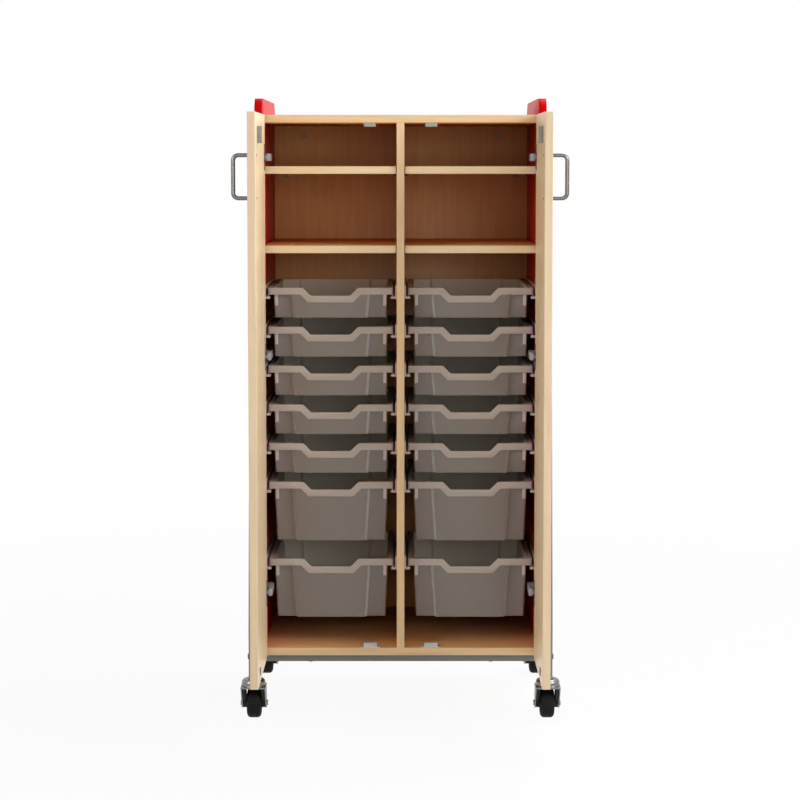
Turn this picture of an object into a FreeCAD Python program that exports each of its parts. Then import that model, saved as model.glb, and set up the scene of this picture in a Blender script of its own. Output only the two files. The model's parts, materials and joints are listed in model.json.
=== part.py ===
import FreeCAD
import Part
import math
import os

# Tote tray cart: a two-door cabinet on casters with shelves above two stacks of sliding trays.
# Millimetres, +Z up, front towards -Y. The origin is on the floor under the middle of the carcass.
# At rest the doors stand open at a right angle and every tray is in.

V = FreeCAD.Vector

# Boards
PANEL_T = 19.0
BACK_T = 19.0
BACK_INSET = 7.0
SHELF_SETBACK = 10.0
SHELF_END_GAP = 2.0
FIN_H = 41.0
FIN_R = 38.0

# Trays and where they hang
TRAY_W = 313.0
TRAY_L = 427.0
SHALLOW_H = 75.0
DEEP_H = 150.0
TRAY_PITCH = 97.7
SHALLOW_SLOTS = (0, 1, 2, 3, 4)
DEEP_SLOTS = (5, 7)
TRAY_SIDE_GAP = 9.25
TRAY_SETBACK = 42.0
TRAY_REAR_GAP = 51.0
TRAY_WALL = 2.5
TRAY_DRAFT = 2.6
TRAY_CORNER_R = 5.0
LIP_H = 17.0
SKIRT_H = 21.5
LIP_SIDE = 13.0
LIP_END = 15.0
BULGE_W = 188.0
BULGE_FLARE = 6.0
BULGE_DEPTH = 12.5
BULGE_TAPER = 3.2
NOTCH_TOP_W = 138.0
NOTCH_LOW_W = 99.0
NOTCH_DEPTH = 19.6
RIB_W = 8.0
RIB_H = 48.0
RIB_OUT = 8.0
RIB_FROM_SIDE = 4.0
RIB_ROOT = 1.0

# Tray runners
RUNNER_L = 405.0
RUNNER_WEB_T = 4.0
RUNNER_LEDGE_T = 6.0
RUNNER_H = 33.0
RUNNER_BEARING = 5.5
RUNNER_SETBACK = 3.0
RUNNER_PLAY = 0.2

# Heights of the open spaces in each bay
TOP_BAY_H = 107.0
MID_BAY_H = 177.0
OVER_TRAY_GAP = 87.7
UNDER_TRAY_GAP = 68.4

# Shelf pins
PIN_R = 2.5
PIN_OUT = 9.0
PIN_IN = 8.0
PIN_FROM_EDGE = 60.0

# Steel side frames and cross rails
LEG_STAND = 61.0
FRAME_T = 22.5
FRAME_WALL = 2.0
LEG_DEPTH = 40.0
LEG_INSET = 8.0
LEG_LEAN = 7.2
KNEE_RISE = 61.0
FRAME_TOP_DROP = 41.0
FRAME_EDGE_R = 5.0
FRAME_CORNER_R = 30.0
LEG_PLUG_H = 40.0
RAIL_H = 18.0
RAIL_DEPTH = 30.0
RAIL_END_T = 4.0

# Bolts
BOLT_R = 4.0
BOLT_HEAD_R = 7.0
BOLT_HEAD_H = 3.0
BOLT_PLAY = 0.1
BOLT_BITE = 12.0
RAIL_BOLT_X = 227.0

# Doors and their concealed hinges
DOOR_GAP = 3.0
DOOR_MEETING_GAP = 3.0
DOOR_DROP = 2.0
DOOR_TUCK = 7.0
DOOR_EDGE_R = 2.0
PIVOT_DEPTH = 10.0
PIVOT_EDGE = 8.8
HINGE_TOP = 104.0
HINGE_MID = 596.0
HINGE_LOW = 163.0
CUP_R = 17.5
CUP_EDGE = 20.5
CUP_WALL = 0.8
CUP_FLANGE_H = 65.0
CUP_FLANGE_W = 24.0
CUP_FLANGE_T = 1.2
CUP_FLANGE_R = 4.0
PIVOT_R = 1.2
PIVOT_PLAY = 0.05
EYE_R = 2.2
EYE_HALF_H = 4.5
EYE_PLAY = 0.3
NOSE_T = 2.5
NOSE_SLOT_PLAY = 2.0
ARM_STAND = 20.0
ARM_T = 9.0
ARM_HALF_H = 9.0
ARM_END = 75.0
ARM_FOOT = 50.0
ARM_PLATE_HALF_H = 18.0
ARM_PLATE_T = 3.0

# Handles
HANDLE_R = 5.0
HANDLE_SPAN = 100.0
HANDLE_REACH = 41.0
HANDLE_BEND_R = 12.0
HANDLE_FROM_EDGE = 50.0
HANDLE_DOWN = 150.0

# Catches and strikes
CATCH_X = 76.0
TOP_CATCH_W = 30.0
TOP_CATCH_H = 10.0
TOP_CATCH_D = 22.0
LOW_CATCH_W = 33.0
LOW_CATCH_H = 11.0
LOW_CATCH_D = 18.0
LOW_FLANGE_W = 48.0
LOW_FLANGE_T = 2.0
CATCH_SETBACK = 1.0
CATCH_EDGE_R = 3.0
CATCH_SLOT_W = 27.0
CATCH_SLOT_H = 2.0
CATCH_SLOT_DEPTH = 3.0
STRIKE_W = 24.0
STRIKE_H = 40.0
STRIKE_T = 2.0
STRIKE_STAND = 11.0
STRIKE_BELOW_CATCH = 3.0
LOW_STRIKE_W = 24.0
LOW_STRIKE_H = 18.0
LOW_STRIKE_T = 1.5
LOW_STRIKE_R = 6.0

# Casters
CASTER_H = 110.0
WHEEL_CLEAR = 9.0
TYRE_W = 36.0
TYRE_ROUND = 7.0
TYRE_DEPTH = 11.5
CORE_W = 30.0
HUB_R = 12.0
TRAIL = 25.0
FORK_W = 63.0
FORK_T = 3.0
FORK_HEAD_D = 56.0
FORK_PLATE_T = 4.0
FORK_BOSS_R = 13.0
DOME_R = 30.0
DOME_H = 18.5
DOME_EDGE_R = 10.0
AXLE_R = 4.0
AXLE_HEAD_R = 7.0
AXLE_HEAD_H = 3.0
HUB_PLAY = 1.0
TURN_PLAY = 0.05
STEM_R = 5.5
STEM_L = 36.0
STEM_FLANGE_R = 15.0
STEM_FLANGE_T = 3.0
SWIVEL_R = 6.0
SWIVEL_GAP = 0.5
RIVET_R = 10.0
RIVET_H = 4.0

# Places that follow from the sizes above
BAY_W = TRAY_W + 2 * TRAY_SIDE_GAP
SIDE_IN = PANEL_T / 2 + BAY_W
SIDE_OUT = SIDE_IN + PANEL_T
BAY_X = (PANEL_T + BAY_W) / 2
CARCASS_D = TRAY_SETBACK + TRAY_L + TRAY_REAR_GAP + BACK_T + BACK_INSET
FRONT = -CARCASS_D / 2
REAR = CARCASS_D / 2
BACK_REAR = REAR - BACK_INSET
BACK_FRONT = BACK_REAR - BACK_T
BOTTOM_Z = CASTER_H + LEG_STAND
FLOOR_Z = BOTTOM_Z + PANEL_T
LAST_RIM_Z = FLOOR_Z + UNDER_TRAY_GAP + DEEP_H
FIRST_RIM_Z = LAST_RIM_Z + DEEP_SLOTS[-1] * TRAY_PITCH
LOW_SHELF_Z = FIRST_RIM_Z + OVER_TRAY_GAP
HIGH_SHELF_Z = LOW_SHELF_Z + PANEL_T + MID_BAY_H
CEILING_Z = HIGH_SHELF_Z + PANEL_T + TOP_BAY_H
TOP_Z = CEILING_Z + PANEL_T

DOOR_IN_X = SIDE_IN - DOOR_TUCK
DOOR_OUT_X = DOOR_IN_X + PANEL_T
PIVOT_X = DOOR_IN_X + PIVOT_DEPTH
PIVOT_Y = FRONT - DOOR_GAP - PIVOT_DEPTH
DOOR_W = PIVOT_X + PIVOT_EDGE - DOOR_MEETING_GAP / 2
DOOR_HINGE_Y = PIVOT_Y + PIVOT_EDGE
DOOR_FREE_Y = DOOR_HINGE_Y - DOOR_W
CUP_Y = DOOR_HINGE_Y - CUP_EDGE
CUP_DEPTH = PIVOT_DEPTH + EYE_R + EYE_PLAY + CUP_WALL
HINGE_ZS = (TOP_Z - HINGE_TOP, TOP_Z - HINGE_MID, BOTTOM_Z + HINGE_LOW)

LEG_FRONT_Y = FRONT + LEG_INSET
LEG_Y = LEG_FRONT_Y + LEG_DEPTH / 2
LEG_X = SIDE_OUT + FRAME_T / 2
KNEE_Z = BOTTOM_Z + KNEE_RISE
FRAME_TOP_Z = TOP_Z - FRAME_TOP_DROP
RAIL_LOW_Z = BOTTOM_Z - RAIL_H
RAIL_MID_Z = BOTTOM_Z - RAIL_H / 2
STEM_FLANGE_Z = CASTER_H - STEM_FLANGE_T
DOME_TOP_Z = STEM_FLANGE_Z - SWIVEL_GAP
FORK_LOW_Z = DOME_TOP_Z - DOME_H - FORK_PLATE_T
WHEEL_R = (FORK_LOW_Z - WHEEL_CLEAR) / 2
FORK_IN = FORK_W / 2 - FORK_T


def block(x0, x1, y0, y1, z0, z1):
    """A box between two corners."""
    return Part.makeBox(x1 - x0, y1 - y0, z1 - z0, V(x0, y0, z0))


def rod(radius, start, end):
    """A round bar from one point to another."""
    run = end - start
    return Part.makeCylinder(radius, run.Length, start, run)


def plate(points, thickness):
    """A flat polygon, given as points in one plane, raised along the vector thickness."""
    return Part.Face(Part.makePolygon(points + [points[0]])).extrude(thickness)


def turned(profile, centre, axis_dir):
    """A solid of revolution: a closed profile about an axis through centre."""
    return Part.Face(Part.makePolygon(profile + [profile[0]])).revolve(centre, axis_dir, 360)


def joined(first, *others):
    """One solid from several that share faces or overlap."""
    return first.fuse(list(others)).removeSplitter()


def mirrored(shape):
    """The same piece on the other side of the middle plane."""
    return shape.mirror(V(0, 0, 0), V(1, 0, 0))


def long_edges(shape, direction):
    """Edges that run along one direction."""
    found = []
    for edge in shape.Edges:
        if edge.Curve.TypeId != "Part::GeomLine":
            continue
        run = edge.Vertexes[1].Point - edge.Vertexes[0].Point
        if abs(run.dot(direction)) > 0.99 * run.Length:
            found.append(edge)
    return found


# Carcass boards

def shelf_pin_places():
    """Height, depth and wall of each shelf pin: wall x and the way the pin sticks out."""
    depths = (FRONT + SHELF_SETBACK + PIN_FROM_EDGE, BACK_FRONT - PIN_FROM_EDGE)
    walls = ((-SIDE_IN, 1), (-PANEL_T / 2, -1), (PANEL_T / 2, 1), (SIDE_IN, -1))
    heights = (LOW_SHELF_Z - PIN_R, HIGH_SHELF_Z - PIN_R)
    return [(z, y, x, out) for z in heights for y in depths for x, out in walls]


def shelf_pin(z, y, wall_x, out):
    return rod(PIN_R, V(wall_x - out * PIN_IN, y, z), V(wall_x + out * PIN_OUT, y, z))


def drilled_for_pins(board):
    return board.cut([shelf_pin(*place) for place in shelf_pin_places()])


def side_panel():
    board = block(SIDE_IN, SIDE_OUT, FRONT, REAR, BOTTOM_Z, TOP_Z + FIN_H)
    top_corners = [edge for edge in long_edges(board, V(1, 0, 0)) if edge.CenterOfMass.z > TOP_Z]
    return drilled_for_pins(board.makeFillet(FIN_R, top_corners))


def top_panel():
    return block(-SIDE_IN, SIDE_IN, FRONT, BACK_REAR, CEILING_Z, TOP_Z)


def bottom_panel():
    board = block(-SIDE_IN, SIDE_IN, FRONT, BACK_REAR, BOTTOM_Z, FLOOR_Z)
    return board.cut([rail_bolt(x, y, BOLT_PLAY) for x, y in rail_bolt_places()])


def back_panel():
    return block(-SIDE_IN, SIDE_IN, BACK_FRONT, BACK_REAR, FLOOR_Z, CEILING_Z)


def centre_divider():
    return drilled_for_pins(block(-PANEL_T / 2, PANEL_T / 2, FRONT, BACK_FRONT, FLOOR_Z, CEILING_Z))


def shelf(under_z):
    inner = PANEL_T / 2 + SHELF_END_GAP
    outer = SIDE_IN - SHELF_END_GAP
    return block(inner, outer, FRONT + SHELF_SETBACK, BACK_FRONT, under_z, under_z + PANEL_T)


def shelf_pair(under_z):
    right = shelf(under_z)
    return Part.makeCompound([mirrored(right), right])


# Steel side frame, rails and bolts

def leg_front_y(z):
    """Front edge of the front leg at a height: upright below the knee, leaning back above it."""
    return LEG_FRONT_Y + max(0, z - KNEE_Z) * math.tan(math.radians(LEG_LEAN))


def front_leg():
    top = FRAME_TOP_Z - LEG_DEPTH
    heights = (CASTER_H, KNEE_Z, top)
    outer = [V(SIDE_OUT, leg_front_y(z), z) for z in heights]
    inner = [V(SIDE_OUT, leg_front_y(z) + LEG_DEPTH, z) for z in reversed(heights)]
    tube = plate(outer + inner, V(FRAME_T, 0, 0))
    edges = [edge for edge in tube.Edges if abs(edge.tangentAt(edge.FirstParameter).z) > 0.9]
    tube = tube.makeFillet(FRAME_EDGE_R, edges)

    wall = FRAME_WALL
    hollow_zs = (CASTER_H + LEG_PLUG_H, KNEE_Z, top - wall)
    front = [V(SIDE_OUT + wall, leg_front_y(z) + wall, z) for z in hollow_zs]
    rear = [V(SIDE_OUT + wall, leg_front_y(z) + LEG_DEPTH - wall, z) for z in reversed(hollow_zs)]
    hollow = plate(front + rear, V(FRAME_T - 2 * wall, 0, 0))
    hollow = hollow.makeFillet(FRAME_EDGE_R - wall, [
        edge for edge in hollow.Edges if abs(edge.tangentAt(edge.FirstParameter).z) > 0.9])
    socket = rod(STEM_R, V(LEG_X, LEG_Y, CASTER_H), V(LEG_X, LEG_Y, CASTER_H + STEM_L))
    return tube.cut([hollow, socket, leg_bolt(LEG_Y, BOLT_PLAY)])


def frame_head():
    """The bar across the top of the two legs."""
    low = FRAME_TOP_Z - LEG_DEPTH
    front = [V(SIDE_OUT, leg_front_y(z), z) for z in (low, FRAME_TOP_Z)]
    rear = [V(SIDE_OUT, -point.y, point.z) for point in reversed(front)]
    bar = plate(front + rear, V(FRAME_T, 0, 0))
    corners = [edge for edge in long_edges(bar, V(1, 0, 0)) if edge.CenterOfMass.z > low + 1]
    return bar.makeFillet(FRAME_CORNER_R, corners)


def side_frame():
    leg = front_leg()
    return Part.makeCompound([leg, leg.mirror(V(0, 0, 0), V(0, 1, 0)), frame_head()])


def leg_bolt(y, play):
    """Button-head bolt through the right leg into the end of a cross rail."""
    head_x = SIDE_OUT + FRAME_T
    return bolt(V(head_x, y, RAIL_MID_Z), V(-1, 0, 0), FRAME_T + RAIL_END_T, play)


def rail_bolt(x, y, play):
    """Bolt up through a cross rail into the bottom panel."""
    return bolt(V(x, y, RAIL_LOW_Z), V(0, 0, 1), RAIL_H + BOLT_BITE, play)


def bolt(seat, inward, reach, play):
    """A bolt whose head sits on seat. With play it is the hole for the shank instead."""
    shank = rod(BOLT_R + play, seat, seat + inward * (reach + play))
    if play:
        return shank
    head = rod(BOLT_HEAD_R, seat - inward * BOLT_HEAD_H, seat)
    return joined(head, shank)


def rail_bolt_places():
    return [(x, y) for x in (-RAIL_BOLT_X, RAIL_BOLT_X) for y in (LEG_Y, -LEG_Y)]


def cross_rail(y):
    half = RAIL_DEPTH / 2
    wall = FRAME_WALL
    tube = block(-SIDE_OUT, SIDE_OUT, y - half, y + half, RAIL_LOW_Z, BOTTOM_Z)
    inside = block(
        RAIL_END_T - SIDE_OUT, SIDE_OUT - RAIL_END_T, y - half + wall, y + half - wall,
        RAIL_LOW_Z + wall, BOTTOM_Z - wall)
    end_hole = leg_bolt(y, BOLT_PLAY)
    holes = [rail_bolt(x, place_y, BOLT_PLAY) for x, place_y in rail_bolt_places() if place_y == y]
    return tube.cut([inside, end_hole, mirrored(end_hole)] + holes)


def frame_bolts():
    right = [leg_bolt(y, 0) for y in (LEG_Y, -LEG_Y)]
    left = [mirrored(piece) for piece in right]
    under = [rail_bolt(x, y, 0) for x, y in rail_bolt_places()]
    return Part.makeCompound(right + left + under)


# Trays and runners

def tray_slots():
    """Each slot of a bay from the top, with the height of the tray in it."""
    shallow = [(slot, SHALLOW_H) for slot in SHALLOW_SLOTS]
    return shallow + [(slot, DEEP_H) for slot in DEEP_SLOTS]


def tray_corners(z, inset, height):
    """Plan of a tray's body at z: a rectangle whose front and back stand out in the middle."""
    draw_in = inset - z * math.tan(math.radians(TRAY_DRAFT))
    half = TRAY_W / 2 - LIP_SIDE - draw_in
    end = TRAY_L / 2 - LIP_END - draw_in
    face = BULGE_W / 2 - draw_in + BULGE_TAPER * z / height
    quarter = [(face + BULGE_FLARE, end), (face, end + BULGE_DEPTH)]
    rear = [(half, end)] + quarter + [(-x, y) for x, y in reversed(quarter)] + [(-half, end)]
    return [V(x, y, z) for x, y in rear + [(-x, -y) for x, y in rear]]


def flat_face(points):
    return Part.Face(Part.makePolygon(points + points[:1]))


def tray_core(inset, low_z, height):
    """Tapered body from the rim down to low_z, closed by flat faces and drawn in by inset on every side."""
    top, low = tray_corners(0, inset, height), tray_corners(low_z, inset, height)
    faces = [flat_face(top), flat_face(low)]
    for here in range(len(top)):
        back = here - 1
        faces.append(flat_face([top[back], top[here], low[here], low[back]]))
    core = Part.makeSolid(Part.makeShell(faces))
    if core.Volume < 0:
        core.reverse()
    corner_x = max(point.x for point in low) - 1
    upright = [edge for edge in core.Edges
               if edge.BoundBox.ZLength > -low_z - 1 and abs(edge.CenterOfMass.x) > corner_x]
    return core.makeFillet(TRAY_CORNER_R - inset, upright)


def notch_path(drop):
    """Top line of the front lip over the finger notch, moved in parallel by drop."""
    slope = math.atan2(NOTCH_DEPTH, (NOTCH_TOP_W - NOTCH_LOW_W) / 2)
    spread = drop * math.tan(slope / 2)
    high, low = NOTCH_TOP_W / 2 + spread, NOTCH_LOW_W / 2 + spread
    path = [(-high, 0), (-low, -NOTCH_DEPTH), (low, -NOTCH_DEPTH), (high, 0)]
    return [V(x, -TRAY_L / 2, z - drop) for x, z in path]


def notch_band(drop, depth):
    """Strip of the lip that follows the notch, drop high and depth thick."""
    return plate(notch_path(0) + list(reversed(notch_path(drop))), V(0, depth, 0))


def lip_rib(side, way):
    """Gusset under the lip at one corner of the tray."""
    root = TRAY_L / 2 - LIP_END - RIB_ROOT
    draw_in = RIB_H * math.tan(math.radians(TRAY_DRAFT))
    profile = [(root, -TRAY_WALL / 2), (root + RIB_ROOT + RIB_OUT, -TRAY_WALL / 2),
               (root + RIB_ROOT + RIB_OUT, -LIP_H), (root - draw_in, -RIB_H)]
    x0 = TRAY_W / 2 - LIP_SIDE - RIB_FROM_SIDE - RIB_W
    rib = plate([V(side * x0, way * y, z) for y, z in profile], V(side * RIB_W, 0, 0))
    return rib


def tray(height):
    """Moulded tray with its rim top at z 0 and its middle on the z axis."""
    half_w, half_l, wall = TRAY_W / 2, TRAY_L / 2, TRAY_WALL
    rim = block(-half_w, half_w, -half_l, half_l, -LIP_H, 0)
    rim = rim.makeFillet(TRAY_CORNER_R, long_edges(rim, V(0, 0, 1)))
    under = block(wall - half_w, half_w - wall, wall - half_l, half_l - wall, -LIP_H, -wall)
    under = under.makeFillet(TRAY_CORNER_R - wall, long_edges(under, V(0, 0, 1)))
    reach = half_l - TRAY_CORNER_R
    skirts = [block(x0, x0 + wall, -reach, reach, -SKIRT_H, -wall) for x0 in (-half_w, half_w - wall)]
    ribs = [lip_rib(side, way) for side in (-1, 1) for way in (-1, 1)]
    body = joined(rim.cut(under), tray_core(0, -height, height), *skirts, *ribs)
    shell = body.cut(tray_core(wall, wall - height, height))

    front_wall = LIP_END - BULGE_DEPTH + wall
    notch = plate(notch_path(0), V(0, front_wall + wall, 0))
    return joined(shell.cut(notch), notch_band(LIP_H, wall), notch_band(wall, front_wall))


def placed_tray(side, slot, height):
    middle_y = FRONT + TRAY_SETBACK + TRAY_L / 2
    piece = tray(height)
    piece.translate(V(side * BAY_X, middle_y, FIRST_RIM_Z - slot * TRAY_PITCH))
    return piece


def runner(wall_x, out, slot):
    """Angle runner on a wall: a tray's side skirt rests on its ledge."""
    ledge_z = FIRST_RIM_Z - slot * TRAY_PITCH - SKIRT_H - RUNNER_PLAY
    front = FRONT + TRAY_SETBACK + RUNNER_SETBACK
    reach = TRAY_SIDE_GAP + RUNNER_BEARING
    web_top = RUNNER_H - RUNNER_LEDGE_T
    corners = ((0, -RUNNER_LEDGE_T), (reach, -RUNNER_LEDGE_T), (reach, 0), (RUNNER_WEB_T, 0),
               (RUNNER_WEB_T, web_top), (0, web_top))
    section = [V(wall_x + out * x, front, ledge_z + z) for x, z in corners]
    return plate(section, V(0, RUNNER_L, 0))


def bay_runners(side):
    walls = ((side * PANEL_T / 2, side), (side * SIDE_IN, -side))
    return Part.makeCompound([runner(x, out, slot) for slot, _ in tray_slots() for x, out in walls])


# Doors, hinges, handles and catches

def cup_bore(z, radius, depth):
    return rod(radius, V(DOOR_IN_X, CUP_Y, z), V(DOOR_IN_X + depth, CUP_Y, z))


def door_panel():
    board = block(DOOR_IN_X, DOOR_OUT_X, DOOR_FREE_Y, DOOR_HINGE_Y, BOTTOM_Z - DOOR_DROP, TOP_Z)
    board = board.makeFillet(DOOR_EDGE_R, long_edges(board, V(0, 0, 1)))
    return board.cut([cup_bore(z, CUP_R, CUP_DEPTH) for z in HINGE_ZS])


def hinge_cup(z):
    """Pressed cup with its flange and the pivot pin across it."""
    half_h, half_w = CUP_FLANGE_H / 2, CUP_FLANGE_W / 2
    flange = block(
        DOOR_IN_X - CUP_FLANGE_T, DOOR_IN_X, CUP_Y - half_w, CUP_Y + half_w, z - half_h, z + half_h)
    flange = flange.makeFillet(CUP_FLANGE_R, long_edges(flange, V(1, 0, 0)))
    inner_r = CUP_R - CUP_WALL
    mouth = rod(inner_r, V(DOOR_IN_X - 2 * CUP_FLANGE_T, CUP_Y, z),
                V(DOOR_IN_X + CUP_DEPTH - CUP_WALL, CUP_Y, z))
    collar = rod(CUP_R, V(DOOR_IN_X - CUP_FLANGE_T, CUP_Y, z), V(DOOR_IN_X, CUP_Y, z))
    slot_half = EYE_HALF_H + NOSE_SLOT_PLAY
    nose_slot = block(DOOR_IN_X - 2 * CUP_FLANGE_T, DOOR_IN_X, CUP_Y, CUP_Y + 2 * CUP_R,
                      z - slot_half, z + slot_half)
    shell = joined(flange, collar, cup_bore(z, CUP_R, CUP_DEPTH)).cut([mouth, nose_slot])
    half_pin = math.sqrt(inner_r ** 2 - (PIVOT_Y - CUP_Y) ** 2) + CUP_WALL / 2
    pin = rod(PIVOT_R, V(PIVOT_X, PIVOT_Y, z - half_pin), V(PIVOT_X, PIVOT_Y, z + half_pin))
    return joined(shell, pin)


def hinge_arm(z):
    """Hinge arm on the side panel, with a crooked nose that reaches into the cup."""
    inner_x = SIDE_IN - ARM_STAND
    elbow_y = PIVOT_Y - EYE_R
    end_y = FRONT + ARM_END
    foot_y = end_y - ARM_FOOT
    nose = block(inner_x, PIVOT_X, elbow_y, elbow_y + NOSE_T, z - EYE_HALF_H, z + EYE_HALF_H)
    eye = rod(EYE_R, V(PIVOT_X, PIVOT_Y, z - EYE_HALF_H), V(PIVOT_X, PIVOT_Y, z + EYE_HALF_H))
    bar = block(inner_x, inner_x + ARM_T, elbow_y, end_y, z - ARM_HALF_H, z + ARM_HALF_H)
    foot = block(inner_x + ARM_T, SIDE_IN, foot_y, end_y, z - ARM_HALF_H, z + ARM_HALF_H)
    base = block(
        SIDE_IN - ARM_PLATE_T, SIDE_IN, foot_y, end_y, z - ARM_PLATE_HALF_H, z + ARM_PLATE_HALF_H)
    hole_ends = [V(PIVOT_X, PIVOT_Y, z + way * ARM_HALF_H) for way in (-1, 1)]
    hole = rod(PIVOT_R + PIVOT_PLAY, *hole_ends)
    return joined(nose, eye, bar, foot, base).cut(hole)


def handle():
    """Bent wire pull on the outer face of the door, near its free edge."""
    y = DOOR_FREE_Y + HANDLE_FROM_EDGE
    middle = TOP_Z - HANDLE_DOWN
    bar_x = DOOR_OUT_X + HANDLE_REACH - HANDLE_R
    half, bend = HANDLE_SPAN / 2, HANDLE_BEND_R
    chord = bend * (1 - math.sqrt(0.5))
    edges = []
    for way in (1, -1):
        leg_z = middle + way * half
        start = V(DOOR_OUT_X, y, leg_z)
        turn_in = V(bar_x - bend, y, leg_z)
        turn_mid = V(bar_x - chord, y, leg_z - way * chord)
        turn_out = V(bar_x, y, leg_z - way * bend)
        ends = [Part.LineSegment(start, turn_in).toShape(), Part.Arc(turn_in, turn_mid, turn_out).toShape()]
        edges += ends if way == 1 else list(reversed(ends))
    straight = Part.LineSegment(V(bar_x, y, middle + half - bend), V(bar_x, y, middle - half + bend))
    edges.insert(2, straight.toShape())
    path = Part.Wire(Part.__sortEdges__(edges))
    section = Part.Wire(Part.makeCircle(HANDLE_R, V(DOOR_OUT_X, y, middle + half), V(1, 0, 0)))
    return path.makePipeShell([section], True, False)


def top_catch():
    y0 = FRONT + CATCH_SETBACK
    half = TOP_CATCH_W / 2
    body = block(CATCH_X - half, CATCH_X + half, y0, y0 + TOP_CATCH_D, CEILING_Z - TOP_CATCH_H, CEILING_Z)
    return body.makeFillet(CATCH_EDGE_R, long_edges(body, V(0, 0, 1)))


def low_catch():
    """Magnetic catch: a case with two level pole slots in its face, on a screw flange."""
    y0 = FRONT + CATCH_SETBACK
    y1 = y0 + LOW_CATCH_D
    half, flange_half = LOW_CATCH_W / 2, LOW_FLANGE_W / 2
    case = block(CATCH_X - half, CATCH_X + half, y0, y1, FLOOR_Z, FLOOR_Z + LOW_CATCH_H)
    flange = block(CATCH_X - flange_half, CATCH_X + flange_half, y0, y1, FLOOR_Z, FLOOR_Z + LOW_FLANGE_T)
    slots = []
    for share in (0.42, 0.75):
        low = FLOOR_Z + share * LOW_CATCH_H - CATCH_SLOT_H / 2
        slots.append(block(CATCH_X - CATCH_SLOT_W / 2, CATCH_X + CATCH_SLOT_W / 2, y0, y0 + CATCH_SLOT_DEPTH,
                           low, low + CATCH_SLOT_H))
    return joined(case, flange).cut(slots)


def strikes():
    """Upper latch bracket and lower strike plate on the inner face of the door."""
    y = DOOR_FREE_Y + CATCH_X - DOOR_MEETING_GAP / 2
    top = CEILING_Z - TOP_CATCH_H - STRIKE_BELOW_CATCH
    half = STRIKE_W / 2
    leaf = block(DOOR_IN_X - STRIKE_T, DOOR_IN_X, y - half, y + half, top - STRIKE_H, top)
    hook = block(
        DOOR_IN_X - STRIKE_STAND, DOOR_IN_X, y - STRIKE_T / 2, y + STRIKE_T / 2, top - STRIKE_H, top)
    z = FLOOR_Z + LOW_CATCH_H / 2
    low = block(
        DOOR_IN_X - LOW_STRIKE_T, DOOR_IN_X, y - LOW_STRIKE_W / 2, y + LOW_STRIKE_W / 2,
        z - LOW_STRIKE_H / 2, z + LOW_STRIKE_H / 2)
    low = low.makeFillet(LOW_STRIKE_R, long_edges(low, V(1, 0, 0)))
    return Part.makeCompound([joined(leaf, hook), low])


# Casters

def caster_stem(x, y):
    """Stem pressed into a leg, with the race that the fork turns under."""
    parts = [
        rod(STEM_R, V(x, y, STEM_FLANGE_Z), V(x, y, CASTER_H + STEM_L)),
        rod(STEM_FLANGE_R, V(x, y, STEM_FLANGE_Z), V(x, y, CASTER_H)),
        rod(SWIVEL_R, V(x, y, FORK_LOW_Z), V(x, y, STEM_FLANGE_Z)),
        rod(RIVET_R, V(x, y, FORK_LOW_Z), V(x, y, FORK_LOW_Z + RIVET_H))]
    return joined(*parts)


def fork(x, y):
    """Fork with its swivel head: the wheel trails behind the stem."""
    axle_y = y + TRAIL
    head_half = FORK_HEAD_D / 2
    plate_top = FORK_LOW_Z + FORK_PLATE_T
    head = block(x - FORK_W / 2, x + FORK_W / 2, y - head_half, y + head_half, FORK_LOW_Z, plate_top)
    dome = rod(DOME_R, V(x, y, plate_top), V(x, y, DOME_TOP_Z))
    dome = dome.makeFillet(DOME_EDGE_R, [
        edge for edge in dome.Edges if edge.BoundBox.ZMin > DOME_TOP_Z - 1])
    pieces = [head, dome]
    for side_x in (x - FORK_W / 2, x + FORK_IN):
        outline = [(y - head_half, plate_top), (y + head_half, plate_top),
                   (axle_y + FORK_BOSS_R, WHEEL_R), (axle_y - FORK_BOSS_R, WHEEL_R)]
        cheek = plate([V(side_x, py, pz) for py, pz in outline], V(FORK_T, 0, 0))
        boss = rod(FORK_BOSS_R, V(side_x, axle_y, WHEEL_R), V(side_x + FORK_T, axle_y, WHEEL_R))
        pieces += [cheek, boss]
    bores = [
        rod(SWIVEL_R + TURN_PLAY, V(x, y, FORK_LOW_Z), V(x, y, CASTER_H)),
        rod(RIVET_R + SWIVEL_GAP, V(x, y, FORK_LOW_Z - 1), V(x, y, FORK_LOW_Z + RIVET_H + SWIVEL_GAP)),
        rod(AXLE_R + TURN_PLAY, V(x - FORK_W, axle_y, WHEEL_R), V(x + FORK_W, axle_y, WHEEL_R))]
    return joined(*pieces).cut(bores)


def axle(x, y):
    axle_y = y + TRAIL
    half = FORK_W / 2
    pieces = [rod(AXLE_R, V(x - half, axle_y, WHEEL_R), V(x + half, axle_y, WHEEL_R))]
    for way in (-1, 1):
        face = V(x + way * half, axle_y, WHEEL_R)
        pieces.append(rod(AXLE_HEAD_R, face, face + V(way * AXLE_HEAD_H, 0, 0)))
    return joined(*pieces)


def wheel_profile(x, y, steps):
    """Half profile points, as distance along the axle and radius, on both sides of the middle."""
    half = [V(x + along, y, WHEEL_R + radius) for along, radius in steps]
    other = [V(x - along, y, WHEEL_R + radius) for along, radius in reversed(steps)]
    return half + other


def wheel_core(x, y):
    axle_y = y + TRAIL
    hub_half = FORK_IN - HUB_PLAY
    rim_r = WHEEL_R - TYRE_DEPTH
    steps = [(hub_half, AXLE_R + TURN_PLAY), (hub_half, HUB_R), (CORE_W / 2, HUB_R), (CORE_W / 2, rim_r)]
    return turned(wheel_profile(x, axle_y, steps), V(x, axle_y, WHEEL_R), V(1, 0, 0))


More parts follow.
